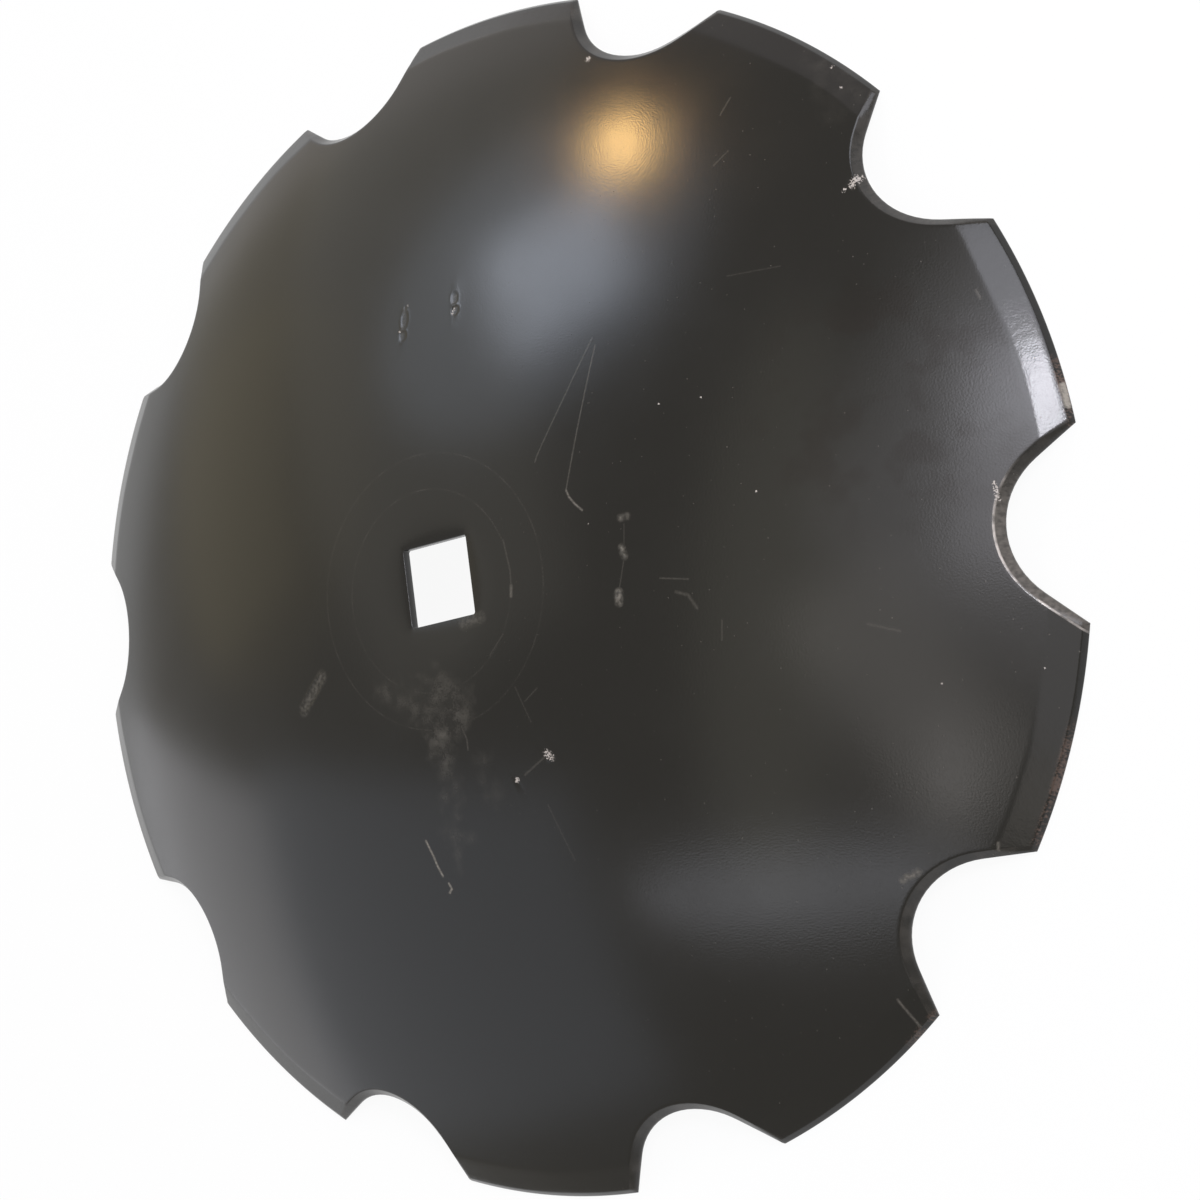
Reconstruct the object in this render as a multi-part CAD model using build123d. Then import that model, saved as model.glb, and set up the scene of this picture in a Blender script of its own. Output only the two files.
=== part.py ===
# Notched disc blade for a tractor-drawn harrow, pressed from one steel plate.
# The blade lies as it comes to rest, hollow side down on the tips of its scallops.
# +Z runs up the blade's own axis and the origin is the centre of the rim's plane.
# Lengths are millimetres and angles are degrees.
import os
from math import asin, cos, hypot, radians, sin, sqrt, tan

from build123d import *

# Plate and dish
blade_diameter = 610.0
plate_thickness = 4.8
dish_depth = 66.6
flat_seat_diameter = 70.0

# Square hole for the gang axle
axle_hole_side = 39.1
axle_hole_corner_radius = 1.2

# Notches round the rim
notch_count = 10
first_notch_angle = 12.3
notch_depth = 32.8
notch_floor_radius = 39.7
notch_flank_angle = 48.4

# Ground edge on the bulging side: a long bevel, then a short steep facet down to a narrow land
bevel_width = 14.0
facet_width = 3.6
facet_top_share = 0.58
facet_foot_share = 0.20

# Slant ground along the upper edge of each notch, as a share of the plate's thickness
notch_slant_share = 0.78

# How far a cutter runs past what it cuts, and how near counts as touching
overrun = 10.0
touch = 0.01

# What follows from these sizes
seat_radius = flat_seat_diameter / 2
rim_radius = blade_diameter / 2
ball_centre = (seat_radius**2 + dish_depth**2 - rim_radius**2) / (2 * dish_depth)
hollow_radius = hypot(rim_radius, ball_centre)
bulge_radius = hollow_radius + plate_thickness
bulge_height = dish_depth + plate_thickness
rim_slope = asin(rim_radius / hollow_radius)
floor_reach = rim_radius - notch_depth


def on_ball(radius, slope):
    """The point of the section that lies on a ball of this radius about the dish's centre, where its slope is this."""
    return (radius * sin(slope), ball_centre + radius * cos(slope))


def pressed_plate():
    """The round plate before it is notched: a dish cut from a ball, with a flat seat in the middle and a plumb rim."""
    hollow_seat_slope = asin(seat_radius / hollow_radius)
    bulge_seat_radius = sqrt(bulge_radius**2 - (bulge_height - ball_centre) ** 2)
    bulge_seat_slope = asin(bulge_seat_radius / bulge_radius)
    bulge_rim_slope = asin(rim_radius / bulge_radius)
    hollow_seat = (seat_radius, dish_depth)
    hollow_middle = on_ball(hollow_radius, (hollow_seat_slope + rim_slope) / 2)
    rim_foot = (rim_radius, 0)
    rim_top = on_ball(bulge_radius, bulge_rim_slope)
    bulge_middle = on_ball(bulge_radius, (bulge_seat_slope + bulge_rim_slope) / 2)
    bulge_seat = (bulge_seat_radius, bulge_height)
    with BuildPart() as plate:
        with BuildSketch(Plane.XZ):
            with BuildLine():
                Polyline((0, bulge_height), (0, dish_depth), hollow_seat)
                ThreePointArc(hollow_seat, hollow_middle, rim_foot)
                Line(rim_foot, rim_top)
                ThreePointArc(rim_top, bulge_middle, bulge_seat)
                Line(bulge_seat, (0, bulge_height))
            make_face()
        revolve(axis=Axis.Z)
    return plate.part


def notch_outline():
    """One notch seen along the axis, on +X: a round floor and two straight flanks that open outwards."""
    flank = radians(notch_flank_angle)
    bend_reach = floor_reach + notch_floor_radius * (1 - cos(flank))
    bend_side = notch_floor_radius * sin(flank)
    mouth_reach = rim_radius + overrun
    mouth_side = bend_side + (mouth_reach - bend_reach) / tan(flank)
    with BuildSketch() as outline:
        with BuildLine():
            Line((mouth_reach, -mouth_side), (bend_reach, -bend_side))
            ThreePointArc((bend_reach, -bend_side), (floor_reach, 0), (bend_reach, bend_side))
            Line((bend_reach, bend_side), (mouth_reach, mouth_side))
            Line((mouth_reach, mouth_side), (mouth_reach, -mouth_side))
        make_face()
    return outline.sketch


def follows_notch(edge):
    """Whether an edge of the bulging face runs along a notch, and not along the seat, the rim or the face's seam."""
    start, middle, end = (hypot(point.X, point.Y) for point in (edge @ 0, edge @ 0.5, edge @ 1))
    return min(start, middle, end) > floor_reach - touch and middle < rim_radius - touch


def notched(plate):
    """Cuts the notches, evenly spaced, and grinds a slant along the upper edge of each."""
    prism = extrude(notch_outline(), amount=bulge_height + overrun)
    pitch = 360 / notch_count
    for place in range(notch_count):
        plate -= Rot(0, 0, first_notch_angle + place * pitch) * prism
    bulging_face = plate.faces().sort_by(SortBy.AREA)[-1]
    upper_edges = bulging_face.edges().filter_by(follows_notch)
    return chamfer(upper_edges, plate_thickness * notch_slant_share)


def ground_edge():
    """The ring of steel ground off the bulging side of the rim: long bevel, steep facet, narrow land."""
    bevel_start_slope = rim_slope - (facet_width + bevel_width) / bulge_radius
    facet_slope = rim_slope - facet_width / bulge_radius
    start = Vector(on_ball(bulge_radius, bevel_start_slope))
    facet_top = Vector(on_ball(hollow_radius + plate_thickness * facet_top_share, facet_slope))
    facet_foot = Vector((rim_radius, plate_thickness * facet_foot_share))
    along_bevel = (start - facet_top).normalized()
    along_facet = (facet_foot - facet_top).normalized()
    inner_end = start + along_bevel * overrun
    outer_end = facet_foot + along_facet * overrun
    with BuildPart() as ring:
        with BuildSketch(Plane.XZ):
            with BuildLine():
                Polyline(inner_end, facet_top, outer_end, (outer_end.X, inner_end.Y), close=True)
            make_face()
        revolve(axis=Axis.Z)
    return ring.part


def axle_hole():
    """The square hole, with its corners eased as a punch leaves them."""
    square = RectangleRounded(axle_hole_side, axle_hole_side, axle_hole_corner_radius)
    return extrude(square, amount=bulge_height + overrun)


def disc_blade():
    """The whole blade, which is one piece of steel."""
    return notched(pressed_plate()) - ground_edge() - axle_hole()


def main():
    os.makedirs("parts", exist_ok=True)
    export_step(disc_blade(), "parts/disc_blade.step")


main()
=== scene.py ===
# Looks of a notched harrow disc blade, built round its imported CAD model.
from functools import partial
from math import acos, asin, atan2, cos, exp, hypot, pi, radians, sin, sqrt, tan

import bmesh
import bpy
from bpy.props import FloatProperty, FloatVectorProperty, IntProperty, PointerProperty
from mathutils import Matrix, Vector, noise


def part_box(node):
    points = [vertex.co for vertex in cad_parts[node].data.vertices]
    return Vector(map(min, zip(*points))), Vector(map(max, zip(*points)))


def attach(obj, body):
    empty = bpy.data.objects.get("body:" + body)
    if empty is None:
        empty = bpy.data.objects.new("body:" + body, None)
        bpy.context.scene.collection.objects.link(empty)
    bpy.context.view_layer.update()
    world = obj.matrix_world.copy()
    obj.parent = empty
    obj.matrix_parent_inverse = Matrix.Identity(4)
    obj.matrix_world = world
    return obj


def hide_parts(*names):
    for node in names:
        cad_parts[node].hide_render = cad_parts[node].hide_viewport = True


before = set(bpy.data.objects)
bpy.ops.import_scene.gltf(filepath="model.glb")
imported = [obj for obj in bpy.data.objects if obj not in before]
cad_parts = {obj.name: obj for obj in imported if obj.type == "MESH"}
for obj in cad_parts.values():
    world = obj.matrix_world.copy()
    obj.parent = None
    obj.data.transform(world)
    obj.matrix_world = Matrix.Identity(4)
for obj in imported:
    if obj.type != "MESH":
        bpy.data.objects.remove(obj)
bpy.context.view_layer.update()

bl_info = {
    "name": "Harrow disc blade",
    "version": (1, 0, 0),
    "blender": (4, 5, 0),
    "location": "3D View > Sidebar > Harrow",
    "description": "Builds a painted, notched and dished harrow blade and its studio",
    "category": "Add Mesh",
}

MM = 0.001
CAD_LOW, CAD_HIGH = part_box("disc_blade")

# Half a sector, from the middle of a notch to the middle of a tooth, is drawn flat and then repeated
FLOOR_STEPS = 9
TOOTH_STEPS = 9
BLEND_STEPS = 4
EVEN_REACH = 250.0 * MM
HUB_STEP = 7.0 * MM
# Rows beside a notch, as distances in from its edge, close together where the slant meets the face
NOTCH_ROWS = [0.0, 0.9, 2.1, 3.1, 3.5, 3.9, 5.0, 6.6]
SLANT_REACH = 3.5
# Rows across a tooth: distances from the bevel's inner line, shares of the bevel, distances from the
# facet's inner line, and how far outside the facet's middle the last row lies
BEVEL_ROWS = [-2.2, -0.8, 0.0, 0.8]
BEVEL_SHARES = [0.3, 0.55, 0.8]
FACET_ROWS = [-0.5, 0.0, 0.4]
FACET_MIDDLE_SHIFT = 0.2 * MM
# The rows either side of the seat's crease
SEAT_ROW = 1.0 * MM
# How the axle hole's outline and the worn edges are divided
HOLE_CORNER_STEPS = 4
HOLE_SIDE_CUTS = 9
EDGE_STEPS = 2
# Corners that are nearer to each other than this become one
MERGE = 0.02 * MM
# An edge that is nearer to a circle than this lies on it
TOUCH = 0.01 * MM
# How far up through the plate the steep facet starts, and how high over the rim's plane it ends, as shares
# of the plate's thickness
FACET_TOP_SHARE, FACET_FOOT_SHARE = 0.58, 0.2
# Hand grinding lets the bevel's upper line and the notches' slant wander this much, over about this length
BEVEL_WANDER, BEVEL_WAVE = 0.16 * MM, 22.0 * MM
SLANT_WANDER, SLANT_WAVE = 0.14, 15.0 * MM
WANDER_LAYER = 0.5
# How far each crease between two ground faces is rounded off, as a height
SEAT_ROUND = 0.15 * MM
GROUND_ROUND = 0.2 * MM
SLANT_ROUND = 0.25 * MM
# Mesh attribute that holds how far in plan a point is from the nearest notch, in millimetres
NOTCH_DISTANCE = "notch_distance"
PLATE = 4.8 * MM


def length(name, default, description):
    """A length in metres that shows in Blender's own unit."""
    return FloatProperty(
        name=name, description=description, default=default,
        min=0.0, unit="LENGTH", subtype="DISTANCE", precision=4,
    )


def angle(name, default, description):
    """An angle given in degrees."""
    return FloatProperty(
        name=name, description=description, default=radians(default),
        unit="ROTATION", subtype="ANGLE",
    )


def linear(hex_value):
    """Linear red, green, blue and alpha of an sRGB hex value such as '#1a2b3c'."""
    channels = [int(hex_value[at:at + 2], 16) / 255 for at in (1, 3, 5)]
    return [c / 12.92 if c <= 0.04045 else ((c + 0.055) / 1.055) ** 2.4 for c in channels] + [1.0]


def tint(name, hex_value, description):
    """A colour given as an sRGB hex value."""
    return FloatVectorProperty(
        name=name, description=description, default=linear(hex_value),
        size=4, min=0.0, max=1.0, subtype="COLOR",
    )


class BladeSizes(bpy.types.PropertyGroup):
    """Sizes of the pressed plate. They repeat the CAD model's own."""

    diameter: length("Diameter", 610.0 * MM, "Across the tips of the teeth")
    thickness: length("Thickness", PLATE, "Of the plate")
    depth: length("Dish depth", CAD_HIGH.z - PLATE, "From the rim's plane to the hollow side of the seat")
    seat: length("Seat diameter", 70.0 * MM, "Of the flat round the axle hole")
    hole_side: length("Axle hole", 39.1 * MM, "Side of the square hole")
    hole_corner: length("Hole corner", 1.2 * MM, "Radius of the hole's corners")
    notches: IntProperty(name="Notches", description="How many there are round the rim", default=10, min=3)
    first_notch: angle("First notch", 12.3, "Turn of the first notch from +X")
    notch_depth: length("Notch depth", 32.8 * MM, "From the tips' circle to a notch's floor")
    notch_radius: length("Notch radius", 39.7 * MM, "Of a notch's round floor")
    notch_flank: angle("Notch flank", 48.4, "Turn of the round floor that leads into each straight flank")
    bevel: length("Bevel", 14.0 * MM, "Width of the long bevel ground on the bulging side")
    facet: length("Facet", 3.6 * MM, "Width of the steep facet outside the bevel")
    slant: length("Slant", 3.744 * MM, "Height of the slant ground along each notch")
    edge: length("Worn edge", 0.3 * MM, "How far the sharp edges are rounded under the paint")


def round_min(a, b, blend):
    """The lower of two heights, with the crease between them rounded off."""
    share = max(blend - abs(a - b), 0.0) / blend
    return min(a, b) - share * share * blend / 4


def along(start, end, reach):
    """Height at this radius on the cone through two points of the section."""
    return start[1] + (end[1] - start[1]) * (reach - start[0]) / (end[0] - start[0])


def wander(x, y, wave):
    """A slow wander between -1 and 1 over the plan, the same at each run."""
    return noise.noise(Vector((x / wave, y / wave, WANDER_LAYER)))


class BladeShape:
    """Where the blade's surfaces lie, worked out from its sizes."""

    def __init__(self, sizes):
        self.sizes = sizes
        self.rim = sizes.diameter / 2
        self.seat = sizes.seat / 2
        self.half_pitch = pi / sizes.notches
        self.centre = (self.seat ** 2 + sizes.depth ** 2 - self.rim ** 2) / (2 * sizes.depth)
        self.hollow = hypot(self.rim, self.centre)
        self.bulge = self.hollow + sizes.thickness
        self.top = sizes.depth + sizes.thickness
        self.notch_middle = self.rim - sizes.notch_depth + sizes.notch_radius
        slope = asin(self.rim / self.hollow)
        self.bevel_start = self.on_ball(self.bulge, slope - (sizes.facet + sizes.bevel) / self.bulge)
        facet_ball = self.hollow + FACET_TOP_SHARE * sizes.thickness
        self.facet_top = self.on_ball(facet_ball, slope - sizes.facet / self.bulge)
        self.facet_foot = (self.rim, FACET_FOOT_SHARE * sizes.thickness)

    def on_ball(self, radius, slope):
        """The point of the section on a ball of this radius, where its slope is this."""
        return (radius * sin(slope), self.centre + radius * cos(slope))

    def from_notch(self, x, y):
        """Distance in plan from the edge of the nearest notch."""
        turn = atan2(y, x) - self.sizes.first_notch
        turn -= 2 * self.half_pitch * round(turn / (2 * self.half_pitch))
        reach = hypot(x, y)
        across = abs(reach * sin(turn))
        inwards = self.notch_middle - reach * cos(turn)
        flank = self.sizes.notch_flank
        if atan2(across, inwards) < flank:
            return hypot(across, inwards) - self.sizes.notch_radius
        return inwards * cos(flank) + across * sin(flank) - self.sizes.notch_radius

    def hollow_height(self, x, y):
        """The hollow side's height over a point of the plan."""
        ball = self.centre + sqrt(self.hollow ** 2 - x * x - y * y)
        return round_min(ball, self.sizes.depth, SEAT_ROUND)

    def bulge_height(self, x, y):
        """The bulging side's height over a point of the plan, less all that was ground off it."""
        reach = hypot(x, y)
        ball = self.centre + sqrt(self.bulge ** 2 - reach ** 2)
        bevel = along(self.bevel_start, self.facet_top, reach) + BEVEL_WANDER * wander(x, y, BEVEL_WAVE)
        cut = self.sizes.slant * (1 + SLANT_WANDER * wander(x, y, SLANT_WAVE))
        height = round_min(ball, self.top, SEAT_ROUND)
        height = round_min(height, bevel, GROUND_ROUND)
        height = round_min(height, along(self.facet_top, self.facet_foot, reach), GROUND_ROUND)
        return round_min(height, ball - cut * (1 - self.from_notch(x, y) / (SLANT_REACH * MM)), SLANT_ROUND)

    def beside_floor(self, turn, inset):
        """A point of the plan this far in from a notch's round floor."""
        reach = self.sizes.notch_radius + inset
        return (self.notch_middle - reach * cos(turn), reach * sin(turn))

    def beside_flank(self, reach, inset):
        """A point of the plan this far in from a notch's straight flank, on the circle of this radius."""
        flank = self.sizes.notch_flank
        share = (self.notch_middle * cos(flank) - self.sizes.notch_radius - inset) / reach
        return polar(reach, acos(share) - flank)

    def tooth_levels(self):
        """Radii of the rows across a tooth, from its root to its tip, close together at each crease."""
        bevel, facet = self.bevel_start[0], self.facet_top[0]
        levels = [bevel + row * MM for row in BEVEL_ROWS]
        levels += [bevel + (facet - bevel) * share for share in BEVEL_SHARES]
        levels += [facet + row * MM for row in FACET_ROWS]
        return levels + [(facet + self.rim) / 2 + FACET_MIDDLE_SHIFT, self.rim]


def polar(reach, turn):
    """The point of the plan at this radius and turn from +X."""
    return (reach * cos(turn), reach * sin(turn))


def laid_grid(mesh, columns, rows, place):
    """A grid whose corners are then moved to where place says, from each one's column and row."""
    made = bmesh.ops.create_grid(mesh, x_segments=columns, y_segments=rows, size=1.0)["verts"]
    for corner in made:
        column = round((corner.co.x + 1) / 2 * columns)
        row = round((corner.co.y + 1) / 2 * rows)
        corner.co = (*place(column, row), 0.0)


def flat_half_sector(mesh, shape):
    """Three grids in plan that meet: beside the notch, across the tooth, and from there in to the seat."""
    insets = [row * MM for row in NOTCH_ROWS]
    levels = shape.tooth_levels()
    flank = shape.sizes.notch_flank

    def beside_notch(column, row):
        if column <= FLOOR_STEPS:
            return shape.beside_floor(flank * column / FLOOR_STEPS, insets[row])
        return shape.beside_flank(levels[column - FLOOR_STEPS - 1], insets[row])

    def across_tooth(column, row):
        x, y = beside_notch(FLOOR_STEPS + row, len(insets) - 1)
        start = atan2(y, x)
        return polar(hypot(x, y), start + (shape.half_pitch - start) * column / TOOTH_STEPS)

    columns = FLOOR_STEPS + TOOTH_STEPS
    hub_rows = round((EVEN_REACH - shape.seat) / HUB_STEP)

    def towards_seat(column, row):
        if column <= FLOOR_STEPS:
            x, y = beside_notch(column, len(insets) - 1)
        else:
            x, y = across_tooth(column - FLOOR_STEPS, 0)
        even_turn = shape.half_pitch * column / columns
        share = min(row / BLEND_STEPS, 1.0)
        turn = atan2(y, x) + (even_turn - atan2(y, x)) * share
        if row <= BLEND_STEPS:
            return polar(hypot(x, y) + (EVEN_REACH - hypot(x, y)) * share, turn)
        inner = shape.seat + SEAT_ROW
        return polar(EVEN_REACH + (inner - EVEN_REACH) * (row - BLEND_STEPS) / hub_rows, turn)

    laid_grid(mesh, FLOOR_STEPS + len(levels), len(insets) - 1, beside_notch)
    laid_grid(mesh, TOOTH_STEPS, len(levels), across_tooth)
    laid_grid(mesh, columns, BLEND_STEPS + hub_rows, towards_seat)
    bmesh.ops.remove_doubles(mesh, verts=mesh.verts[:], dist=MERGE)


def outer_edges(mesh, reach):
    """Open edges of the sheet that lie on the circle of this radius."""
    return [
        edge for edge in mesh.edges
        if edge.is_boundary and all(abs(end.co.xy.length - reach) < TOUCH for end in edge.verts)
    ]


def flat_blade(mesh, shape):
    """The whole plan as one sheet: ten sectors round the seat, and the seat round the square hole."""
    flat_half_sector(mesh, shape)
    bmesh.ops.mirror(mesh, geom=mesh.verts[:] + mesh.edges[:] + mesh.faces[:], axis="Y", merge_dist=MERGE)
    bmesh.ops.recalc_face_normals(mesh, faces=mesh.faces[:])
    bmesh.ops.rotate(mesh, verts=mesh.verts[:], matrix=Matrix.Rotation(shape.sizes.first_notch, 3, "Z"))
    copies = shape.sizes.notches - 1
    bmesh.ops.spin(
        mesh, geom=mesh.verts[:] + mesh.edges[:] + mesh.faces[:], axis=(0, 0, 1), cent=(0, 0, 0),
        angle=2 * shape.half_pitch * copies, steps=copies, use_duplicate=True,
    )
    bmesh.ops.remove_doubles(mesh, verts=mesh.verts[:], dist=MERGE)
    # Two more rings, just inside the seat's crease, and then the square
    ring = outer_edges(mesh, shape.seat + SEAT_ROW)
    for reach in (shape.seat, shape.seat - SEAT_ROW):
        grown = bmesh.ops.extrude_edge_only(mesh, edges=ring)["geom"]
        for item in grown:
            if isinstance(item, bmesh.types.BMVert):
                item.co.xy = item.co.xy.normalized() * reach
        ring = outer_edges(mesh, reach)
    bmesh.ops.triangle_fill(mesh, edges=ring + square_outline(mesh, shape.sizes), use_beauty=True)
    bmesh.ops.recalc_face_normals(mesh, faces=mesh.faces[:])


def square_outline(mesh, sizes):
    """Edges of the axle hole's outline: a square with eased corners."""
    corners = bmesh.ops.create_grid(mesh, x_segments=1, y_segments=1, size=sizes.hole_side / 2)["verts"]
    bmesh.ops.bevel(
        mesh, geom=corners, offset=sizes.hole_corner, offset_type="OFFSET",
        segments=HOLE_CORNER_STEPS, profile=0.5, affect="VERTICES", material=-1,
    )
    half_diagonal = sizes.hole_side * sqrt(0.5)
    plug = [face for face in mesh.faces if all(corner.co.length < half_diagonal for corner in face.verts)]
    sides = [edge for edge in plug[0].edges if edge.calc_length() > sizes.hole_side / 2]
    bmesh.ops.subdivide_edges(mesh, edges=sides, cuts=HOLE_SIDE_CUTS)
    outline = plug[0].edges[:]
    bmesh.ops.delete(mesh, geom=plug, context="FACES_ONLY")
    return outline


def pressed_blade(mesh, shape):
    """Gives the flat sheet its two sides and its walls, and lifts each side to its own surface."""
    lower = set(mesh.verts)
    bmesh.ops.extrude_face_region(mesh, geom=mesh.faces[:], use_keep_orig=True)
    upper = [corner for corner in mesh.verts if corner not in lower]
    for corner in lower:
        corner.co.z = shape.hollow_height(corner.co.x, corner.co.y)
    for corner in upper:
        corner.co.z = shape.bulge_height(corner.co.x, corner.co.y)
    bmesh.ops.recalc_face_normals(mesh, faces=mesh.faces[:])
    sharp = [
        edge for edge in mesh.edges
        if len(edge.link_faces) == 2 and (edge.verts[0] in lower) == (edge.verts[1] in lower)
        and any(len({end in lower for end in face.verts}) == 2 for face in edge.link_faces)
    ]
    bmesh.ops.bevel(
        mesh, geom=sharp, offset=shape.sizes.edge, offset_type="OFFSET",
        segments=EDGE_STEPS, profile=0.5, affect="EDGES", material=-1, clamp_overlap=True,
    )


# Dents in the bulging side: place in plan, half length, half width, turn of the length from +X, depth and
# raised lip, all in millimetres and degrees
DENTS = [
    # Two stamped ovals, each over a deeper pit
    (137.8, 10.6, 5.2, 2.5, 176, 0.12, 0.10),
    (129.6, 11.8, 3.2, 2.6, 0, 0.20, 0.10),
    (144.3, 10.4, 1.4, 1.0, 0, 0.15, 0.08),
    (140.6, -21.4, 3.7, 2.3, 0, 0.12, 0.10),
    (133.8, -21.8, 2.9, 2.5, 0, 0.22, 0.10),
    # Three nicks in a row
    (9.0, -106.5, 2.6, 2.0, 0, 0.10, 0.07),
    (-6.0, -104.3, 2.9, 1.8, 0, 0.22, 0.09),
    (-27.0, -98.4, 3.1, 1.9, 0, 0.30, 0.10),
    # A long rub, two knocks, and a knock at a notch
    (-38.9, 94.0, 11.5, 3.2, 129, 0.07, 0.05),
    (-92.5, -47.4, 2.2, 2.0, 0, 0.18, 0.12),
    (-101.3, -27.0, 1.5, 1.1, 30, 0.12, 0.06),
    (143.0, -225.6, 3.4, 2.2, 40, 0.35, 0.05),
]
# With a dent's outline at 1: where its lip is highest, how soon the lip fades, and where nothing is left
LIP_AT, LIP_FADE, DENT_END = 1.1, 0.24, 2.0
# The lower this power, the flatter a dent's floor and the steeper its sides
DENT_POWER = 0.4
# Rectangles of the plan that are divided finely for those dents: lowest x and y, highest x and y
FINE_PATCHES = [
    (124, 5, 148, 16), (127, -27, 147, -16), (-33, -110, 14, -94),
    (-50, 82, -28, 106), (-106, -52, -88, -23), (137, -232, 150, -219),
]
# Twice, the edges there that are longer than this are cut in this many places
FINE_CUTS = [(4.5 * MM, 11), (1.2 * MM, 3)]
# A face of the bulging side faces up at least this much, as the height of its normal
FACES_UP = 0.5


def dent_height(x, y):
    """How far the dents and their lips move the bulging side at a point of the plan."""
    height = 0.0
    for middle_x, middle_y, half_length, half_width, turn, depth, lip in DENTS:
        across, up = x / MM - middle_x, y / MM - middle_y
        turned = radians(turn)
        reach = hypot(
            (across * cos(turned) + up * sin(turned)) / half_length,
            (up * cos(turned) - across * sin(turned)) / half_width,
        )
        if reach < DENT_END:
            height += MM * lip * exp(-((reach - LIP_AT) / LIP_FADE) ** 2)
            height -= MM * depth * max(1 - reach * reach, 0.0) ** DENT_POWER
    return height


def dented(mesh, shape):
    """Divides the bulging side finely round each dent and presses the dents in."""
    for low_x, low_y, high_x, high_y in FINE_PATCHES:

        def in_patch(corner):
            return low_x * MM < corner.co.x < high_x * MM and low_y * MM < corner.co.y < high_y * MM

        for longest, cuts in FINE_CUTS:
            faces = [
                face for face in mesh.faces
                if face.normal.z > FACES_UP and all(in_patch(corner) for corner in face.verts)
            ]
            long_edges = {edge for face in faces for edge in face.edges if edge.calc_length() > longest}
            bmesh.ops.subdivide_edges(mesh, edges=list(long_edges), cuts=cuts, use_grid_fill=True)
            mesh.normal_update()
        pressed = {
            corner for face in mesh.faces if face.normal.z > FACES_UP
            for corner in face.verts if in_patch(corner)
        }
        for corner in pressed:
            x, y = corner.co.xy
            corner.co.z = shape.bulge_height(x, y) + dent_height(x, y)


# Marks on the bulging side, in plan millimetres: points, half width and strength. One point alone is a dot.
# First what is as pale as dust
SCRATCHES = [
    # Two long hair lines from one place, the second ending in a hook
    ([(98.8, -98.9), (74.3, -82.7), (48.7, -65.0), (45.6, -63.5)], 0.55, 0.19),
    ([(94.9, -100.3), (62.7, -89.8), (28.5, -78.6)], 0.55, 0.22),
    ([(28.5, -78.6), (24.9, -79.8), (20.9, -82.5), (17.3, -85.8)], 0.75, 0.55),
    # Between the three nicks
    ([(6.4, -106.2), (-3.3, -104.8)], 0.5, 0.10), ([(-9.3, -103.9), (-24.4, -98.8)], 0.5, 0.13),
    # Round the seat
    ([(12.2, -41.3), (-2.9, -43.1), (-10.5, -42.5)], 0.7, 0.13),
    ([(-10.5, -42.5), (-15.2, -41.7)], 1.2, 0.38),
    ([(-32.2, -34.1), (-40.7, -24.8)], 0.6, 0.09), ([(-58.1, -35.9), (-75.7, -41.2)], 0.6, 0.08),
    ([(-65.5, -40.1), (-60.6, -47.9)], 0.6, 0.10),
    ([(-72.1, -1.2), (-78.0, -2.8), (-83.0, -2.3)], 0.7, 0.16),
    # A bright curl and its tail
    ([(-122.3, 35.4), (-129.6, 33.0), (-135.7, 31.6), (-140.4, 29.9)], 0.9, 0.85),
    ([(-144.4, 27.3), (-147.2, 26.3), (-148.9, 28.2)], 0.9, 0.85),
    # Faint ones, from the seat outwards
    ([(-115.3, -41.1), (-142.6, -48.6)], 0.8, 0.06), ([(-93.0, -45.0), (-99.6, -32.0)], 0.9, 0.13),
    ([(-21.9, -120.0), (-24.9, -133.3)], 0.6, 0.16),
    ([(-29.6, -126.6), (-32.1, -132.1), (-38.7, -135.3)], 1.1, 0.15),
    ([(-46.2, -145.9), (-55.1, -144.2)], 0.6, 0.12), ([(-59.4, -209.4), (-64.8, -222.1)], 1.0, 0.09),
    ([(204.1, -171.1), (196.3, -166.3)], 0.7, 0.16), ([(-224.5, -182.6), (-237.5, -187.5)], 0.9, 0.36),
    ([(-161.9, -242.0), (-164.9, -241.2)], 0.9, 0.42), ([(80.5, -274.5), (76.5, -275.8)], 1.0, 0.18),
    ([(170.0, -162.8), (175.9, -170.1)], 0.7, 0.11), ([(112.4, -167.5), (111.2, -192.2)], 0.6, 0.07),
    # A scuff on the steep facet
    ([(31.0, -302.7), (21.8, -303.4)], 1.9, 1.6),
]
# Where bare steel shows
CHIPS = [
    # At the stamped ovals
    ([(132.2, 13.7)], 1.2, 0.7), ([(145.1, 8.5)], 1.0, 0.5), ([(134.9, -21.0), (132.5, -19.8)], 1.0, 0.6),
    # At two of the knocks
    ([(-91.5, -46.4), (-93.5, -48.4)], 2.6, 0.75), ([(-101.3, -27.0)], 1.7, 1.4),
    # Where something struck the notches and the rim
    ([(251.0, -94.8)], 2.2, 0.85), ([(143.4, -226.6), (146.2, -228.6)], 2.6, 0.75),
    ([(141.5, -222.8)], 1.5, 0.7), ([(-7.1, -270.9), (-15.1, -270.9)], 1.3, 0.65),
    ([(207.9, -218.2)], 1.3, 0.6), ([(195.2, -222.6)], 1.0, 0.7),
    # Loose grit
    ([(58.7, -130.1)], 0.7, 0.8), ([(57.3, -150.6)], 0.7, 0.8), ([(8.6, -170.6)], 0.7, 0.9),
    ([(10.1, -88.0)], 0.6, 0.7), ([(-90.5, -234.8)], 0.7, 0.8), ([(-90.5, -276.6)], 0.7, 0.7),
    ([(-118.9, -246.5)], 0.6, 0.6),
]
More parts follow.
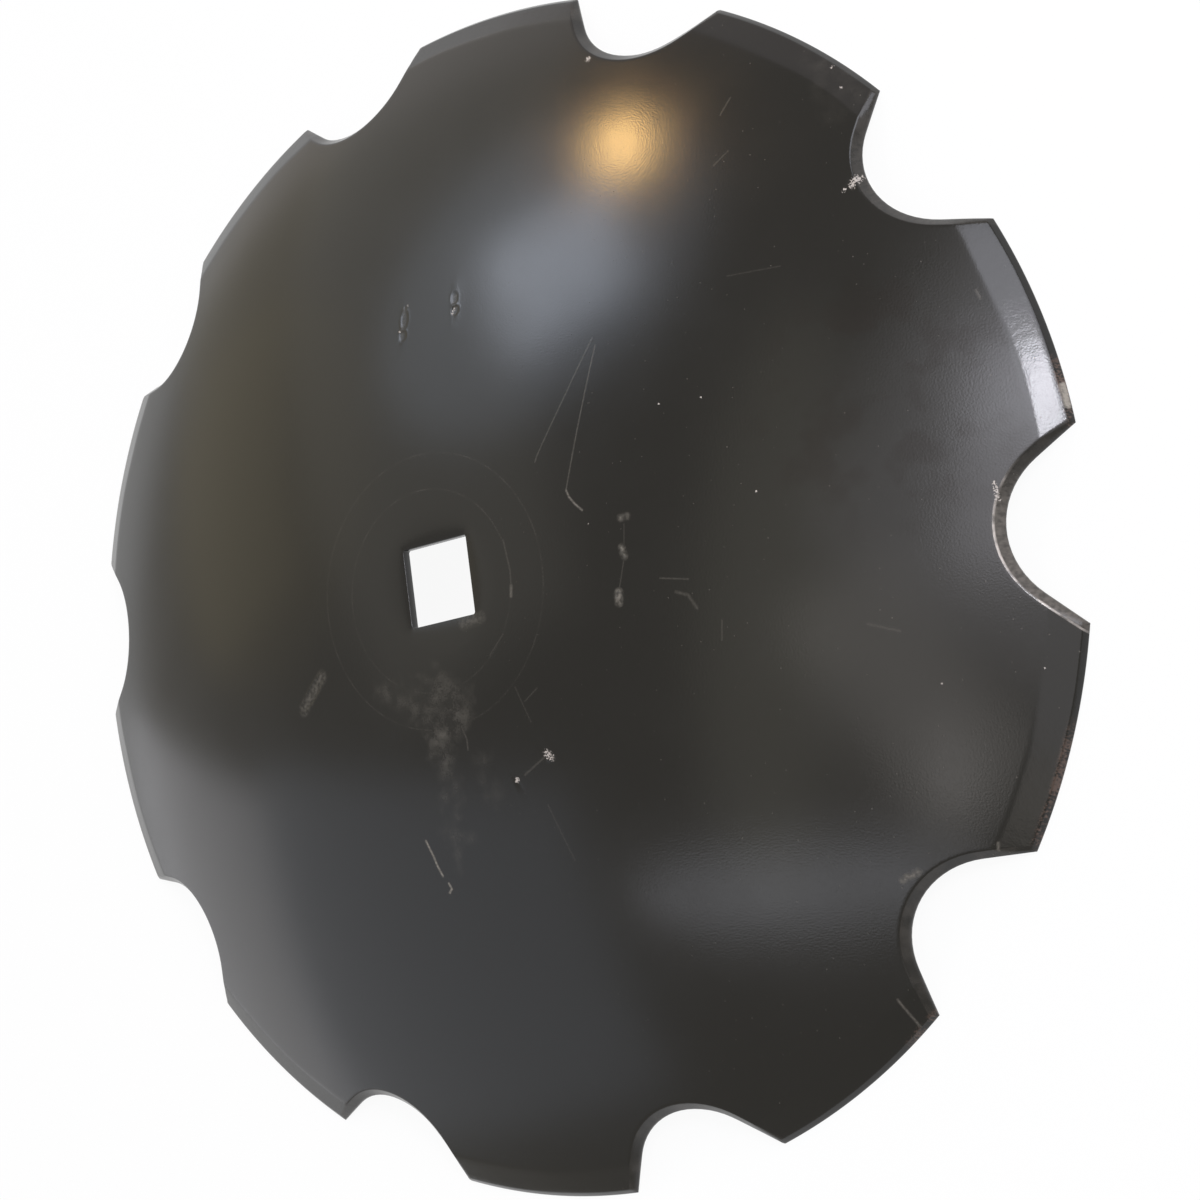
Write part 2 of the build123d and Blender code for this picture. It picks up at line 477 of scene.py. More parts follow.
OXIDE = [
    # In the stamped ovals and the nicks, on the long rub, at the corner of the axle hole and at a notch
    ([(143.5, 10.4), (129.6, 12.4)], 2.6, 0.25), ([(141.0, -21.4), (133.8, -21.8)], 2.6, 0.3),
    ([(9.6, -104.8), (9.6, -108.0)], 2.4, 0.8), ([(-4.0, -103.4), (-8.6, -104.2)], 2.2, 1.0),
    ([(-24.4, -98.8), (-29.2, -98.0)], 2.6, 1.4),
    ([(-31.8, 85.4), (-45.9, 102.6)], 4.4, 0.6), ([(-23.0, -12.0), (-22.0, -22.4)], 4.0, 0.45),
    ([(-172.2, -199.4), (-169.7, -206.5)], 2.4, 0.9),
]
DUST = [
    # The dusty patch beside the axle hole, and a little on a tooth
    ([(-52.0, 7.0), (-66.0, 0.0)], 13.0, 0.85), ([(-45.9, 42.9), (-60.5, 18.0)], 10.0, 0.45),
    ([(-66.0, 6.0), (-74.0, 17.0), (-82.0, 13.5)], 10.0, 0.85),
    ([(-84.0, 12.8), (-110.0, 11.8)], 8.0, 0.50),
    ([(-119.5, 20.0), (-128.0, 14.0)], 9.0, 0.45), ([(-92.0, -10.0), (-104.0, -12.0)], 9.0, 0.30),
    ([(212.0, -214.0), (190.0, -225.0)], 14.0, 0.22),
]
# How far dust lies from its strokes at most, and how long the waves of its outline are
DUST_STRAY, STRAY_WAVE = 12.0, 15.0
# The marks of a spool that was pressed against the blade: the middle of its two rings, each ring's radius,
# and half its width
SPOOL_MIDDLE = (-3.0, 7.0)
SPOOL_RINGS = (50.0, 68.0)
RING_HALF_WIDTH = 0.5
# Specks of dust lie in cells this wide, and the greatest is this share of a cell across
SPECK_CELL, SPECK_SHARE = 4.5, 0.38
# Places in plan: the notch whose slant shows grey steel, the notch whose edge is worn and painted with a
# bright highlight line, where the rim is rubbed brown, and where the paint is stained. Each has its radius.
GREY_NOTCH = ((157.0, -269.0), 52.0)
WORN_AND_GLINT_NOTCH = ((-44.0, -284.0), 46.0)
RUBBED_RIM = [((-146.0, -272.0), 36.0), ((-236.0, -193.0), 18.0), ((24.0, -303.0), 26.0)]
STAINS = ((38.0, -232.0), 70.0)
# Middle and half width of the rusty line along the facet
RUST_LINE = (302.9, 0.8)
# Half width of the bright line along the worn notch: worn bare steel and a painted highlight
WORN_GLINT_HALF_WIDTH = 0.6
# How much of a band, or of a place's radius, is at full strength
BAND_CORE_SHARE, PLACE_CORE_SHARE = 0.4, 0.6
# How strong some of these are beside the others
GREY_NOTCH_SHARE, RUST_LINE_SHARE, STAIN_RUST_SHARE = 0.5, 0.6, 0.03
# What fine grain adds to clotted dust
DUST_GRAIN = 0.35
# What the paint's grain, scuffs and thin places add to its roughness
GRAIN_ROUGH, SCUFF_ROUGH, SLANT_ROUGH = 0.02, 0.35, 0.25
# How high the enamel's pebbles stand, and how much higher the lumps of the ground bevel are beside them
PEBBLE_HEIGHT = 0.026 * MM
GROUND_LUMP = 1.7
ENAMEL_IOR = 1.5
# Lumps in the paint and in what lies on it: how wide they are in millimetres, and how many finer layers
# they have
LUMPS = {
    "chip": (0.8, 3.0), "pebble": (0.9, 1.0), "grain": (1.0, 3.0), "oxide": (2.0, 4.0),
    "ground": (4.0, 2.0), "dust": (8.0, 6.0), "patch": (9.0, 4.0), "stain": (24.0, 4.0),
    "sheen": (38.0, 3.0),
}
# From this height of the normal on, a face may carry marks
MARKED_UP = 0.2
# How one value is read from another: two ends of the other, then the value at each
SPREADS = {
    # Marks by how far the surface faces up, and how rare specks are from the +Y half to the -Y half
    "bulging": (MARKED_UP, 0.4, 0.0, 1.0), "rarity": (120.0, -150.0, 0.93, 0.80),
    # Each speck's soft edge, and strengths of specks, spool rings, scratches, oxide and dust
    "speck edge": (0.0, 0.03, 0.0, 1.0), "speck": (0.0, 0.2, 0.04, 0.28), "ring": (0.88, 1.25, 0.01, 0.06),
    "scratch": (0.38, 0.62, 0.55, 1.0), "oxide": (0.35, 0.7, 0.1, 0.5), "dust": (0.55, 0.95, 0.02, 0.26),
    # What noise eats from a chip, and the strength of what is left
    "eaten": (0.38, 0.62, 0.0, 0.8), "chip": (0.0, 0.2, 0.0, 0.85),
    # Rust towards the rim's radius, and where it is broken up
    "land": (301.5, 303.5, 0.0, 0.75), "rust": (0.9, 1.15, 0.0, 1.0),
    # The slant by the distance from its notch, grey and thin paint on it, and the worn line with its painted
    # highlight
    "slant": (SLANT_REACH, 3.1, 0.0, 1.0), "grey": (0.35, 0.65, 0.45, 1.0), "thin": (0.4, 0.7, 0.05, 0.25),
    "worn_and_glint": (0.4, 0.6, 0.2, 0.9),
    # Where the stains are, how little they shine, the paint's own roughness, and where the bevel starts
    "stain": (0.5, 0.62, 0.0, 1.0), "shine": (0.0, 1.0, 0.5, 0.42), "sheen": (0.3, 0.7, 0.155, 0.18),
    "ground": (290.5, 292.0, 0.0, 1.0),
}
MATH, RANGE, VECTOR = "ShaderNodeMath", "ShaderNodeMapRange", "ShaderNodeVectorMath"
# A dot has no length, so this stands in for the square of it
DOT = 1e-6


def add_node(tree, kind, links=(), **settings):
    """Adds a node with its settings. Each link or constant is given by its socket's name or number."""
    node = tree.nodes.new(kind)
    for name, value in settings.items():
        setattr(node, name, value)
    for socket, source in dict(links).items():
        if isinstance(source, bpy.types.NodeSocket):
            tree.links.new(source, node.inputs[socket])
        else:
            node.inputs[socket].default_value = source
    return node.outputs


def stroke_group():
    """A node group that draws one straight stroke over the strokes before it, in plan millimetres."""
    tree = bpy.data.node_groups.new("stroke", "ShaderNodeTree")
    for name in ("Point", "Start", "Along", "Share"):
        tree.interface.new_socket(name=name, in_out="INPUT", socket_type="NodeSocketVector")
    for name in ("Fall", "Strength", "Before"):
        tree.interface.new_socket(name=name, in_out="INPUT", socket_type="NodeSocketFloat")
    tree.interface.new_socket(name="Mask", in_out="OUTPUT", socket_type="NodeSocketFloat")
    node = partial(add_node, tree)
    given = node("NodeGroupInput")
    # The point takes a nothing from the mask before, so strokes are worked out one by one in little memory
    almost_nothing = (1e-9, 0, 0)
    waiting = {0: given["Before"], 1: almost_nothing, 2: given["Point"]}
    waited = node(VECTOR, waiting, operation="MULTIPLY_ADD")[0]
    offset = node(VECTOR, {0: waited, 1: given["Start"]}, operation="SUBTRACT")[0]
    share = node(VECTOR, {0: offset, 1: given["Share"]}, operation="DOT_PRODUCT")["Value"]
    held = node(MATH, {0: share, 1: 0.0}, operation="ADD", use_clamp=True)[0]
    nearest = node(VECTOR, {0: given["Along"], "Scale": held}, operation="SCALE")[0]
    away = node(VECTOR, {0: offset, 1: nearest}, operation="DISTANCE")["Value"]
    faded = node(MATH, {0: away, 1: given["Fall"], 2: given["Strength"]}, operation="MULTIPLY_ADD")[0]
    over = node(MATH, {0: faded, 1: given["Before"]}, operation="MAXIMUM")[0]
    node("NodeGroupOutput", {"Mask": over})
    return tree


def strokes(marks):
    """The straight strokes of some marks: start, end, half width and strength."""
    return [
        (start, end, half_width, strength)
        for points, half_width, strength in marks
        for start, end in zip(points, points[1:] or points)
    ]


def drawn(node, group, point, marks):
    """A chain of strokes as one mask, strongest along the middle of each."""
    mask = 0.0
    for start, end, half_width, strength in strokes(marks):
        run = Vector((end[0] - start[0], end[1] - start[1], 0.0))
        given = {
            "Point": point, "Start": (*start, 0.0), "Along": run,
            "Share": run / max(run.length_squared, DOT), "Fall": -strength / half_width,
            "Strength": strength, "Before": mask,
        }
        mask = node("ShaderNodeGroup", given, node_tree=group)["Mask"]
    return mask


def spread(value, name):
    """Sockets of a range node that reads this value by a row of SPREADS."""
    return dict(enumerate((value, *SPREADS[name])))


class PaintNodes:
    """What the masks are drawn from: where a point of the blade lies, in millimetres, and the lumps there."""

    def __init__(self, tree):
        self.node = node = partial(add_node, tree)
        place = node("ShaderNodeTexCoord")
        solid = node(VECTOR, {0: place["Object"], "Scale": 1 / MM}, operation="SCALE")[0]
        self.flat = node(VECTOR, {0: solid, 1: (1, 1, 0)}, operation="MULTIPLY")[0]
        self.reach = node(VECTOR, {0: self.flat}, operation="LENGTH")["Value"]
        self.sideways = node("ShaderNodeSeparateXYZ", {0: solid})["Y"]
        self.notch = node("ShaderNodeAttribute", attribute_name=NOTCH_DISTANCE)["Fac"]
        facing = node("ShaderNodeSeparateXYZ", {0: place["Normal"]})["Z"]
        self.bulging = node(RANGE, spread(facing, "bulging"))[0]
        self.lumps = {}
        for name, (width, layers) in LUMPS.items():
            given = {"Vector": self.flat, "Scale": 1 / width, "Detail": layers}
            self.lumps[name] = node("ShaderNodeTexNoise", given, noise_dimensions="2D")["Fac"]
        self.uneven = node(MATH, {0: self.lumps["grain"], 1: self.lumps["patch"]}, operation="ADD")[0]

    def band(self, value, middle, half_width):
        """One in the middle of a band, falling to nothing at its sides."""
        offset = self.node(MATH, {0: value, 1: middle}, operation="SUBTRACT")[0]
        away = self.node(MATH, {0: offset}, operation="ABSOLUTE")[0]
        return self.node(RANGE, {0: away, 1: half_width, 2: half_width * BAND_CORE_SHARE})[0]

    def near(self, middle, radius):
        """One at a place of the plan, falling to nothing this far from it."""
        away = self.node(VECTOR, {0: self.flat, 1: (*middle, 0.0)}, operation="DISTANCE")["Value"]
        return self.node(RANGE, {0: away, 1: radius, 2: radius * PLACE_CORE_SHARE})[0]

    def varied(self, mask, value, name):
        """A mask times the strength that a row of SPREADS reads from a value."""
        strength = self.node(RANGE, spread(value, name))[0]
        return self.node(MATH, {0: mask, 1: strength}, operation="MULTIPLY")[0]


def dust_specks(paint):
    """Loose dust: a speck in some cells, each with its own size, more of them on the -Y half."""
    node = paint.node
    given = {"Vector": paint.flat, "Scale": 1 / SPECK_CELL}
    cells = node("ShaderNodeTexVoronoi", given, voronoi_dimensions="2D")
    chance = node("ShaderNodeSeparateColor", {0: cells["Color"]})[0]
    rarity = node(RANGE, spread(paint.sideways, "rarity"))[0]
    crowd = node(MATH, {0: chance, 1: rarity}, operation="SUBTRACT")[0]
    radius = node(MATH, {0: crowd, 1: SPECK_SHARE}, operation="MULTIPLY")[0]
    inside = node(MATH, {0: radius, 1: cells["Distance"]}, operation="SUBTRACT")[0]
    specks = node(RANGE, spread(inside, "speck edge"))[0]
    return paint.varied(specks, crowd, "speck")


def spool_rings(paint):
    """Two faint rings that a spool left, broken up."""
    given = {0: paint.flat, 1: (*SPOOL_MIDDLE, 0.0)}
    off_middle = paint.node(VECTOR, given, operation="DISTANCE")["Value"]
    inner, outer = (paint.band(off_middle, radius, RING_HALF_WIDTH) for radius in SPOOL_RINGS)
    rings = paint.node(MATH, {0: inner, 1: outer}, operation="MAXIMUM")[0]
    return paint.varied(rings, paint.uneven, "ring")


def dust_patches(paint, group):
    """Clotted dust. Noise moves the point at which it is drawn, so its outline strays from its strokes."""
    node = paint.node
    given = {"Vector": paint.flat, "Scale": 1 / STRAY_WAVE, "Detail": 3.0}
    wave = node("ShaderNodeTexNoise", given, noise_dimensions="2D")["Color"]
    centred = node(VECTOR, {0: wave, 1: (0.5, 0.5, 0.5)}, operation="SUBTRACT")[0]
    straying = {0: centred, 1: (2 * DUST_STRAY, 2 * DUST_STRAY, 0), 2: paint.flat}
    strayed = node(VECTOR, straying, operation="MULTIPLY_ADD")[0]
    clotting = {0: paint.lumps["grain"], 1: DUST_GRAIN, 2: paint.lumps["dust"]}
    clotted = node(MATH, clotting, operation="MULTIPLY_ADD")[0]
    return paint.varied(drawn(node, group, strayed, DUST), clotted, "dust")


def chips(paint, group):
    """Chips down to bare steel. Noise eats into them, which leaves ragged outlines."""
    node = paint.node
    eaten = node(RANGE, spread(paint.lumps["chip"], "eaten"))[0]
    left = node(MATH, {0: drawn(node, group, paint.flat, CHIPS), 1: eaten}, operation="SUBTRACT")[0]
    return paint.varied(paint.bulging, left, "chip")


def rusty_rim(paint):
    """The ground rim where it is rubbed, thin paint over steel that has begun to rust."""
    node = paint.node
    rubbed = 0.0
    for middle, radius in RUBBED_RIM:
        rubbed = node(MATH, {0: paint.near(middle, radius), 1: rubbed}, operation="MAXIMUM")[0]
    line = node(MATH, {0: paint.band(paint.reach, *RUST_LINE), 1: RUST_LINE_SHARE}, operation="MULTIPLY")[0]
    land = node(RANGE, spread(paint.reach, "land"))[0]
    rim = node(MATH, {0: line, 1: land}, operation="MAXIMUM")[0]
    rim = node(MATH, {0: rim, 1: rubbed}, operation="MULTIPLY")[0]
    return paint.varied(rim, paint.uneven, "rust")


def notch_slants(paint):
    """How grey the slants of the notches are, and the bright line along the worn one: worn steel and a
    painted highlight.
    """
    node = paint.node
    patch = paint.lumps["patch"]
    worn_glint_place = paint.near(*WORN_AND_GLINT_NOTCH)
    grey_place = node(MATH, {0: paint.near(*GREY_NOTCH), 1: GREY_NOTCH_SHARE}, operation="MULTIPLY")[0]
    grey = node(MATH, {0: grey_place, 1: worn_glint_place}, operation="MAXIMUM")[0]
    grey = paint.varied(grey, paint.lumps["oxide"], "grey")
    thin = node(RANGE, spread(patch, "thin"))[0]
    grey = node(MATH, {0: grey, 1: thin}, operation="MAXIMUM")[0]
    # Painted highlight: the glint along the worn notch's rounded crease, drawn as a bright line in the bare
    # steel colour
    line = paint.band(paint.notch, SLANT_REACH, WORN_GLINT_HALF_WIDTH)
    line = node(MATH, {0: line, 1: worn_glint_place}, operation="MULTIPLY")[0]
    return paint.varied(grey, paint.notch, "slant"), paint.varied(line, patch, "worn_and_glint")


class EnamelLook(bpy.types.PropertyGroup):
    """Colours of the paint and of what shows through or lies on it."""

    enamel: tint("Enamel", "#100f0d", "The black paint itself")
    dust: tint("Dust", "#8b857b", "Dry dust and rubbed paint")
    # Bare steel, which is also the colour of the painted highlight along the worn notch
    bare_steel_and_glint: tint("Bare steel", "#b9b1a9", "Where paint and scale are knocked off")
    rust: tint("Rust", "#57463d", "Along the ground rim, where the paint is thin")
    cut: tint("Cut face", "#55504a", "The thinly painted slant of each notch")


def black_enamel(look, name, marked):
    """Black enamel, sprayed over hot-pressed steel and stored outdoors: a soft gloss like still oil, faintly
    pebbled, which turns grey with dust and pale where it was scraped. The marks are only on marked faces."""
    enamel = bpy.data.materials.new(name)
    enamel.use_nodes = True
    tree = enamel.node_tree
    paint = PaintNodes(tree)
    node, lumps = paint.node, paint.lumps

    dusty = node(MATH, {0: dust_specks(paint), 1: spool_rings(paint)}, operation="MAXIMUM")[0]
    chipped = 0.0
    if marked:
        group = stroke_group()
        scratched = paint.varied(drawn(node, group, paint.flat, SCRATCHES), lumps["grain"], "scratch")
        oxidised = paint.varied(drawn(node, group, paint.flat, OXIDE), lumps["oxide"], "oxide")
        for mask in (scratched, oxidised, dust_patches(paint, group)):
            dusty = node(MATH, {0: dusty, 1: mask}, operation="MAXIMUM")[0]
        chipped = chips(paint, group)
    dusty = node(MATH, {0: dusty, 1: paint.bulging}, operation="MULTIPLY")[0]
    grey, worn_and_glint = notch_slants(paint)
    stained = paint.varied(paint.near(*STAINS), lumps["stain"], "stain")
    stain_rust = node(MATH, {0: stained, 1: STAIN_RUST_SHARE}, operation="MULTIPLY")[0]
    rusty = node(MATH, {0: rusty_rim(paint), 1: stain_rust}, operation="MAXIMUM")[0]
    # Chips show bare steel. The line along the worn notch is partly worn steel and partly a painted
    # highlight.
    bare_steel_and_glint = node(MATH, {0: chipped, 1: worn_and_glint}, operation="MAXIMUM")[0]

    colour = look.enamel
    for layer, share in ((look.cut, grey), (look.rust, rusty), (look.dust, dusty), (look.bare_steel_and_glint, bare_steel_and_glint)):
        given = {0: share, 6: colour, 7: layer}
        colour = node("ShaderNodeMix", given, data_type="RGBA", clamp_factor=True)[2]
    scuffed = node(MATH, {0: dusty, 1: chipped}, operation="MAXIMUM")[0]
    rough = node(RANGE, spread(lumps["sheen"], "sheen"))[0]
    for mask, added in ((lumps["grain"], GRAIN_ROUGH), (scuffed, SCUFF_ROUGH), (grey, SLANT_ROUGH)):
        rough = node(MATH, {0: mask, 1: added, 2: rough}, operation="MULTIPLY_ADD")[0]
    shine = node(RANGE, spread(stained, "shine"))[0]
    ground = paint.varied(lumps["ground"], paint.reach, "ground")
    pebbled = node(MATH, {0: ground, 1: GROUND_LUMP, 2: lumps["pebble"]}, operation="MULTIPLY_ADD")[0]
    bump = node("ShaderNodeBump", {"Height": pebbled, "Strength": 1.0, "Distance": PEBBLE_HEIGHT})[0]

    shader = tree.nodes["Principled BSDF"].inputs
    tree.links.new(colour, shader["Base Color"])
    tree.links.new(rough, shader["Roughness"])
    tree.links.new(shine, shader["Specular IOR Level"])
    tree.links.new(bump, shader["Normal"])
    shader["IOR"].default_value = ENAMEL_IOR
    return enamel


def marked_faces(mesh):
    """Faces of the bulging side that some mark reaches."""
    # The dust strays from its strokes
    dust = [(points, half_width + DUST_STRAY / 2, strength) for points, half_width, strength in DUST]
    reached = [
        (Vector(start) * MM, Vector(end) * MM, half_width * MM)
        for start, end, half_width, strength in strokes(SCRATCHES + CHIPS + OXIDE + dust)
    ]
    found = []
    for face in mesh.faces:
        if face.normal.z < MARKED_UP:
            continue
        middle = face.calc_center_median().xy
        radius = max((corner.co.xy - middle).length for corner in face.verts)
        for start, end, half_width in reached:
            run = end - start
            share = (middle - start).dot(run) / max(run.length_squared, DOT * MM * MM)
            nearest = start + run * min(max(share, 0.0), 1.0)
            if (nearest - middle).length < radius + half_width:
                found.append(face)
                break
    return found


class HARROW_OT_blade(bpy.types.Operator):
    """Builds the blade: dished, notched and bevelled, with its square axle hole and its paint"""

    bl_idname = "harrow.blade"
    bl_label = "Blade"

    def execute(self, context):
        shape = BladeShape(context.scene.harrow_blade)
        mesh = bmesh.new()
        flat_blade(mesh, shape)
        pressed_blade(mesh, shape)
        dented(mesh, shape)
        distance = mesh.verts.layers.float.new(NOTCH_DISTANCE)
        for corner in mesh.verts:
            corner[distance] = shape.from_notch(corner.co.x, corner.co.y) / MM
        for face in marked_faces(mesh):
            face.material_index = 1
        data = bpy.data.meshes.new("disc_blade_painted")
        mesh.to_mesh(data)
        mesh.free()
        data.shade_smooth()
        look = context.scene.harrow_look
        data.materials.append(black_enamel(look, "black_enamel_on_steel", False))
        data.materials.append(black_enamel(look, "scuffed_black_enamel_on_steel", True))
        blade = bpy.data.objects.new("disc_blade_painted", data)
        context.scene.collection.objects.link(blade)
        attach(blade, "root")
        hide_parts("disc_blade")
        return {"FINISHED"}


class HARROW_OT_stage(bpy.types.Operator):
    """Sets out the pale floor, the soft lamps, the sky and the camera"""

    bl_idname = "harrow.stage"
    bl_label = "Floor, lamps and camera"

    def execute(self, context):
        pale_floor(context)
        soft_light(context)
        camera(context)
        return {"FINISHED"}


# Soft lamps on a ball of LAMP_REACH round the blade: name, shape, azimuth and height in degrees, half width
# and half height as angles, roll, and radiance in red, green and blue
LAMP_REACH = 4.0
LAMPS = [
    ("ceiling", "ELLIPSE", -10.3, 89.0, 30.3, 7.2, 87.6, (0.33, 0.32, 0.26)),
    ("olive", "RECTANGLE", 44.6, 34.0, 36.6, 15.1, 52.9, (0.29, 0.28, 0.25)),
    ("cool", "RECTANGLE", 102.6, 4.1, 15.3, 14.9, -23.8, (0.80, 0.81, 0.87)),
    ("cool_far", "RECTANGLE", 118.5, 36.0, 21.1, 16.2, 56.7, (0.32, 0.36, 0.44)),
    ("low_edge", "RECTANGLE", 18.6, 7.1, 45.0, 14.2, -24.6, (0.22, 0.20, 0.22)),
    ("window", "RECTANGLE", 27.3, 45.6, 7.3, 6.7, -6.8, (2.85, 3.10, 3.60)),
    ("window_halo", "ELLIPSE", 30.4, 43.9, 18.6, 14.3, -3.9, (0.50, 0.58, 0.71)),
    ("warm", "ELLIPSE", 15.05, 37.0, 2.4, 3.0, 16.8, (37.00, 22.80, 8.30)),
    ("ember", "ELLIPSE", 15.05, 36.9, 6.0, 7.0, 16.8, (0.45, 0.15, 0.05)),
    ("strip", "ELLIPSE", 173.9, 62.1, 18.0, 4.0, -1.0, (1.35, 1.39, 1.54)),
    ("right", "RECTANGLE", -66.9, 60.5, 12.2, 6.0, -34.9, (1.75, 1.73, 1.90)),
    ("right_top", "RECTANGLE", -60.5, 35.4, 17.0, 21.3, 34.0, (2.07, 2.12, 2.38)),
    ("right_back", "RECTANGLE", -129.4, 73.2, 6.6, 13.7, -24.4, (0.84, 0.80, 0.77)),
    ("slim", "ELLIPSE", -141.9, 65.3, 5.0, 2.0, 45.0, (1.30, 1.25, 1.25)),
    ("under_bevel", "RECTANGLE", -131.9, 42.1, 5.0, 4.0, 0.0, (0.75, 0.70, 0.65)),
    ("brown", "RECTANGLE", -80.1, 45.8, 26.2, 31.4, -49.8, (0.62, 0.61, 0.64)),
    ("right_window", "RECTANGLE", -68.0, 41.2, 6.7, 3.8, -24.6, (18.20, 18.20, 19.70)),
    ("olive_mid", "ELLIPSE", 68.0, 24.0, 16.0, 16.0, 0.0, (0.09, 0.07, 0.02)),
    ("olive_wall", "RECTANGLE", 61.5, 14.5, 20.6, 8.7, 36.0, (0.19, 0.16, 0.09)),
]
# The backdrop is white at the horizon and dims to the ceiling's colour by this height, in degrees
CEILING_FROM = 6.0
# The ceiling shows in what is glossy, and daylight fills in where the lamps don't reach
CEILING = (0.561, 0.535, 0.483, 1.0)
DAYLIGHT = (0.25, 0.25, 0.25, 1.0)
WHITE = (1.0, 1.0, 1.0, 1.0)
FLOOR_REACH = 20.0
# How much of the floor that is seen glows at plain white. The rest keeps its shadow.
FLOOR_GLOW_SHARE = 0.93
# The camera's lens and sensor in millimetres, its place, and which way its right side and its back point
CAMERA_LENS, CAMERA_SENSOR = 63.863, 36.0
CAMERA_PLACE = Vector((-174.56, -627.35, 881.78)) * MM
CAMERA_ACROSS = Vector((-0.13177, -0.81589, -0.56299))
CAMERA_BACK = Vector((-0.1501, -0.54497, 0.82491))


def pale_floor(context):
    """A wide pale floor under the teeth."""
    mesh = bmesh.new()
    bmesh.ops.create_grid(mesh, x_segments=1, y_segments=1, size=FLOOR_REACH)
    data = bpy.data.meshes.new("floor")
    mesh.to_mesh(data)
    mesh.free()
    floor = bpy.data.objects.new("floor", data)
    data.materials.append(white_card())
    context.scene.collection.objects.link(floor)


def white_card():
    """Matt white card. Seen directly or in a reflection, most of it glows at plain white."""
    card = bpy.data.materials.new("matt_white_card")
    card.use_nodes = True
    tree = card.node_tree
    node = partial(add_node, tree)
    shader = tree.nodes["Principled BSDF"]
    shader.inputs["Base Color"].default_value = linear("#ececec")
    shader.inputs["Roughness"].default_value = 0.9
    shader.inputs["Specular IOR Level"].default_value = 0.2
    glow = node("ShaderNodeEmission", {"Color": WHITE, "Strength": 1.0})[0]
    path = node("ShaderNodeLightPath")
    seen = node(MATH, {0: path["Is Camera Ray"], 1: mirrored(node, path)}, operation="MAXIMUM")[0]
    share = node(MATH, {0: seen, 1: FLOOR_GLOW_SHARE}, operation="MULTIPLY")[0]
    both = node("ShaderNodeMixShader", {0: share, 1: shader.outputs[0], 2: glow})[0]
    tree.links.new(both, tree.nodes["Material Output"].inputs["Surface"])
    return card


def mirrored(node, path):
    """One for what shows in a gloss or through something clear."""
    rays = {0: path["Is Glossy Ray"], 1: path["Is Transmission Ray"]}
    return node(MATH, rays, operation="MAXIMUM")[0]


def soft_light(context):
    """Lamps all round, as the windows, lights and bright walls of a workshop, and a sky with a backdrop."""
    for lamp in LAMPS:
        hang_lamp(context, *lamp)
    context.scene.world = workshop_sky()


def hang_lamp(context, name, kind, azimuth, height, half_width, half_height, roll, radiance):
    """One lamp of a row of LAMPS, turned to face the blade."""
    data = bpy.data.lights.new(name, "AREA")
    data.shape = kind
    data.size = 2 * LAMP_REACH * tan(radians(half_width))
    data.size_y = 2 * LAMP_REACH * tan(radians(half_height))
    area = data.size * data.size_y * (pi / 4 if kind == "ELLIPSE" else 1.0)
    data.color = [channel / max(radiance) for channel in radiance]
    # An area lamp of P watts has a radiance of P / 4 A
    data.energy = 4 * area * max(radiance)
    lamp = bpy.data.objects.new(name, data)
    turn, rise = radians(azimuth), radians(height)
    outwards = Vector((cos(rise) * cos(turn), cos(rise) * sin(turn), sin(rise)))
    sideways = Vector((-sin(turn), cos(turn), 0.0))
    upwards = outwards.cross(sideways)
    facing = Matrix((sideways, upwards, outwards)).transposed().to_4x4()
    rolled = facing @ Matrix.Rotation(radians(roll), 4, "Z")
    lamp.matrix_world = Matrix.Translation(outwards * LAMP_REACH) @ rolled
    lamp.visible_camera = False
    context.scene.collection.objects.link(lamp)


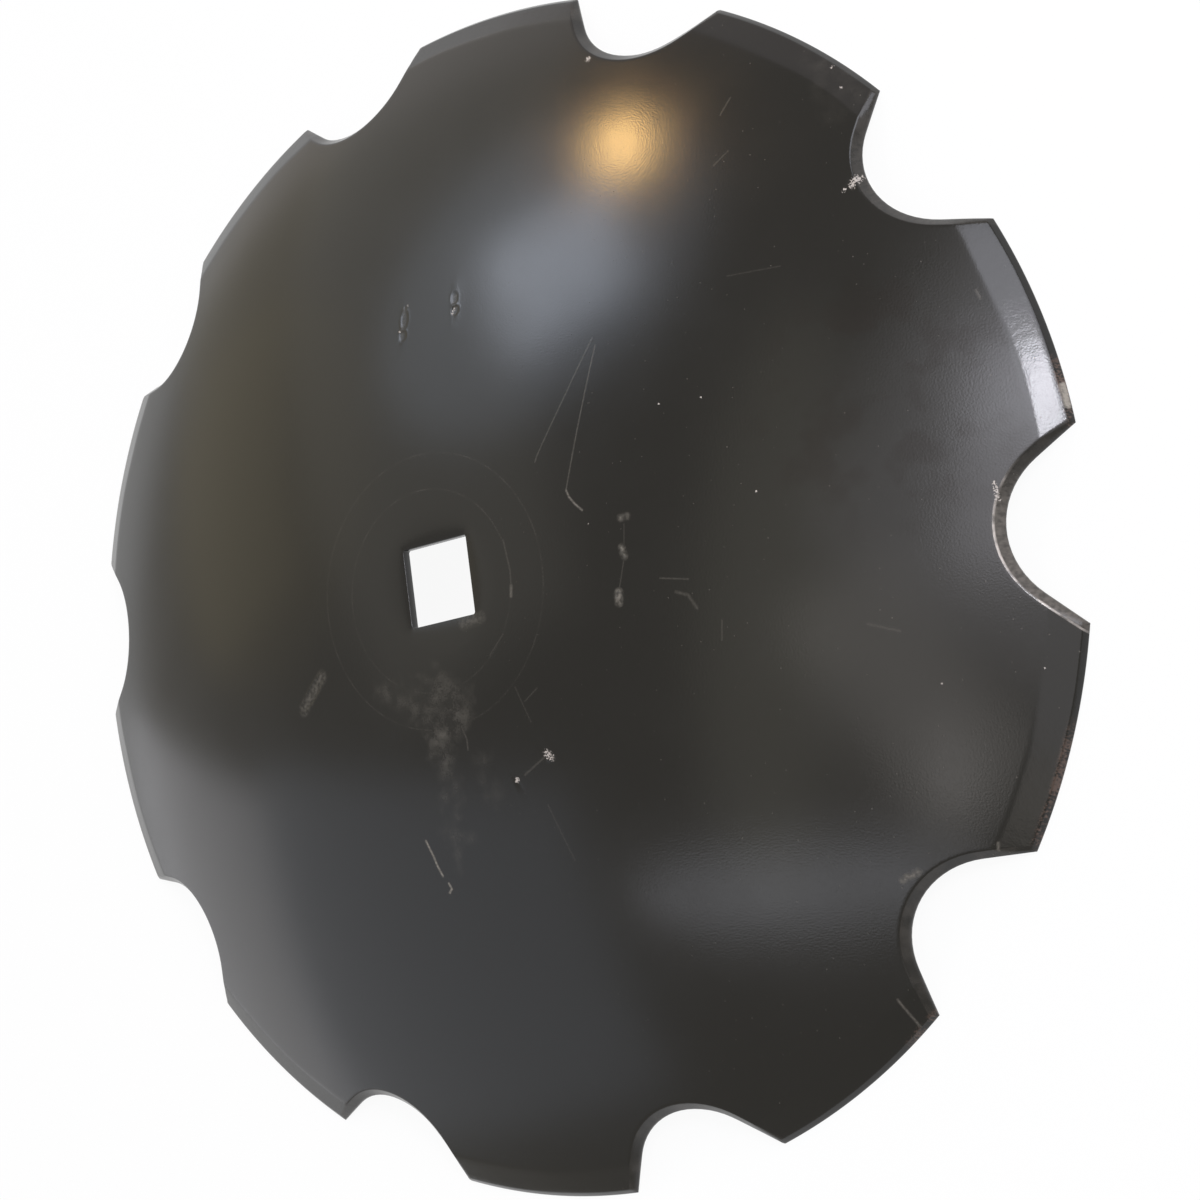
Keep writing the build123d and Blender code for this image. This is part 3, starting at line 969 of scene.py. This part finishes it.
def workshop_sky():
    """A plain room, with a backdrop that is white to the camera and near the horizon of a reflection."""
    sky = bpy.data.worlds.new("workshop")
    sky.use_nodes = True
    tree = sky.node_tree
    node = partial(add_node, tree)
    direction = node("ShaderNodeTexCoord")["Generated"]
    height = node("ShaderNodeSeparateXYZ", {0: direction})["Z"]
    dimming = {0: height, 1: 0.0, 2: sin(radians(CEILING_FROM)), 3: 1.0, 4: 0.0}
    backdrop = node(RANGE, dimming, interpolation_type="SMOOTHSTEP")[0]
    path = node("ShaderNodeLightPath")
    glossy = mirrored(node, path)
    wall = node(MATH, {0: glossy, 1: backdrop}, operation="MULTIPLY")[0]
    white = node(MATH, {0: path["Is Camera Ray"], 1: wall}, operation="MAXIMUM")[0]
    daylight = node("ShaderNodeBackground", {"Color": DAYLIGHT})[0]
    ceiling = node("ShaderNodeBackground", {"Color": CEILING})[0]
    plain = node("ShaderNodeBackground", {"Color": WHITE, "Strength": 1.0})[0]
    room = node("ShaderNodeMixShader", {0: glossy, 1: daylight, 2: ceiling})[0]
    both = node("ShaderNodeMixShader", {0: white, 1: room, 2: plain})[0]
    tree.links.new(both, tree.nodes["World Output"].inputs["Surface"])
    # The sky is broad and soft, so it needs no sampling of its own
    sky.cycles.sampling_method = "NONE"
    return sky


def camera(context):
    """The camera, above the blade and rolled, as the photograph was taken."""
    data = bpy.data.cameras.new("camera")
    data.lens = CAMERA_LENS
    data.sensor_width = CAMERA_SENSOR
    view = bpy.data.objects.new("camera", data)
    across = CAMERA_ACROSS.normalized()
    back = CAMERA_BACK.normalized()
    upwards = back.cross(across).normalized()
    across = upwards.cross(back)
    turn = Matrix((across, upwards, back)).transposed().to_4x4()
    view.matrix_world = Matrix.Translation(CAMERA_PLACE) @ turn
    context.scene.collection.objects.link(view)
    context.scene.camera = view
    context.scene.view_settings.view_transform = "Standard"


class HARROW_PT_sidebar(bpy.types.Panel):
    """Lists the blade's sizes and the steps that build it"""

    bl_idname = "HARROW_PT_sidebar"
    bl_label = "Harrow disc blade"
    bl_space_type = "VIEW_3D"
    bl_region_type = "UI"
    bl_category = "Harrow"

    def draw(self, context):
        for group in (context.scene.harrow_blade, context.scene.harrow_look):
            box = self.layout.box()
            for name in group.bl_rna.properties.keys():
                if name not in ("rna_type", "name"):
                    box.prop(group, name)
        for step in (HARROW_OT_blade, HARROW_OT_stage):
            self.layout.operator(step.bl_idname)


CLASSES = (BladeSizes, EnamelLook, HARROW_OT_blade, HARROW_OT_stage, HARROW_PT_sidebar)


def register():
    for item in CLASSES:
        bpy.utils.register_class(item)
    bpy.types.Scene.harrow_blade = PointerProperty(type=BladeSizes)
    bpy.types.Scene.harrow_look = PointerProperty(type=EnamelLook)


def unregister():
    del bpy.types.Scene.harrow_look
    del bpy.types.Scene.harrow_blade
    for item in reversed(CLASSES):
        bpy.utils.unregister_class(item)


def main():
    register()
    bpy.ops.harrow.blade()
    bpy.ops.harrow.stage()


if __name__ == "__main__":
    main()
